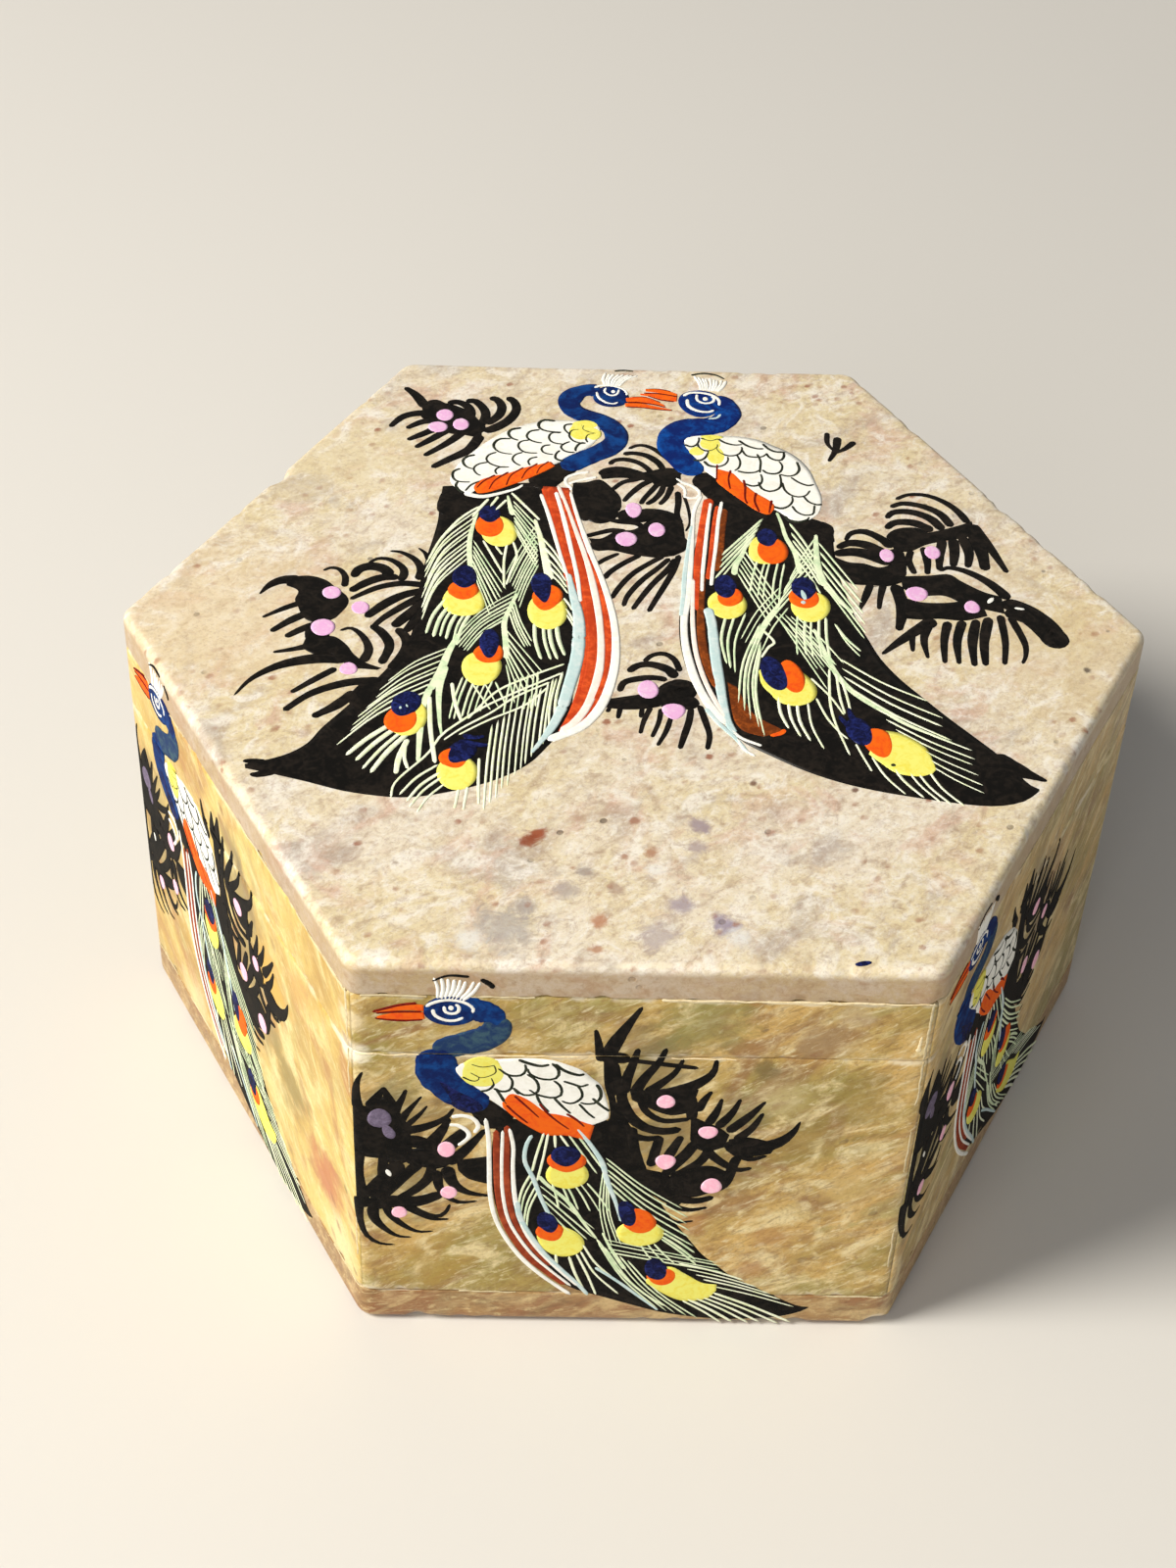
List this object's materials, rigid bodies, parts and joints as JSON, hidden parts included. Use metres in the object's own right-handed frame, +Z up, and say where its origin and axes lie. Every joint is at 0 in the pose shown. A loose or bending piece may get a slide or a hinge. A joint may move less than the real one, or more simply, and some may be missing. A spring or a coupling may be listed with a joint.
{
  "type": "trinket box",
  "caption": "Small hexagonal soapstone box of glued slabs and mitred panels with a lift-off lid and painted peacocks, for keeping trinkets.",
  "frame": {"origin": "centre of the underside of the box, on the surface that it stands on", "axes": "+Z up through the lid, +X to the right along the front panel, -Y out of the front panel"},
  "size_m": [0.102, 0.093, 0.0513],
  "materials": {
    "soapstone_top": "satin",
    "soapstone_wall": "satin",
    "soapstone_base": "satin",
    "soapstone_slip": "matte",
    "joint_filler": "matte",
    "enamel_black": "gloss",
    "enamel_blue": "gloss",
    "enamel_white": "gloss",
    "enamel_yellow": "gloss",
    "enamel_orange": "gloss",
    "enamel_red": "gloss",
    "enamel_pink": "gloss",
    "enamel_green": "gloss",
    "enamel_pale_blue": "gloss"
  },
  "bodies": {
    "body": {"base_slab": "soapstone_base", "body_wall_front": "soapstone_wall", "body_wall_front_right": "soapstone_wall", "body_wall_back_right": "soapstone_wall", "body_wall_back": "soapstone_wall", "body_wall_back_left": "soapstone_wall", "body_wall_front_left": "soapstone_wall", "guide_slip_front": "soapstone_slip", "guide_slip_front_right": "soapstone_slip", "guide_slip_back_right": "soapstone_slip", "guide_slip_back": "soapstone_slip", "guide_slip_back_left": "soapstone_slip", "guide_slip_front_left": "soapstone_slip"},
    "lid": {"lid_slab": "soapstone_top", "lid_rim_front": "soapstone_wall", "lid_rim_front_right": "soapstone_wall", "lid_rim_back_right": "soapstone_wall", "lid_rim_back": "soapstone_wall", "lid_rim_back_left": "soapstone_wall", "lid_rim_front_left": "soapstone_wall"}
  },
  "joints": [
    {"name": "lid_lift", "type": "slide", "parent": "body", "child": "lid", "axis": [0, 0, 1], "range_m": [0, 0.06]}
  ]
}
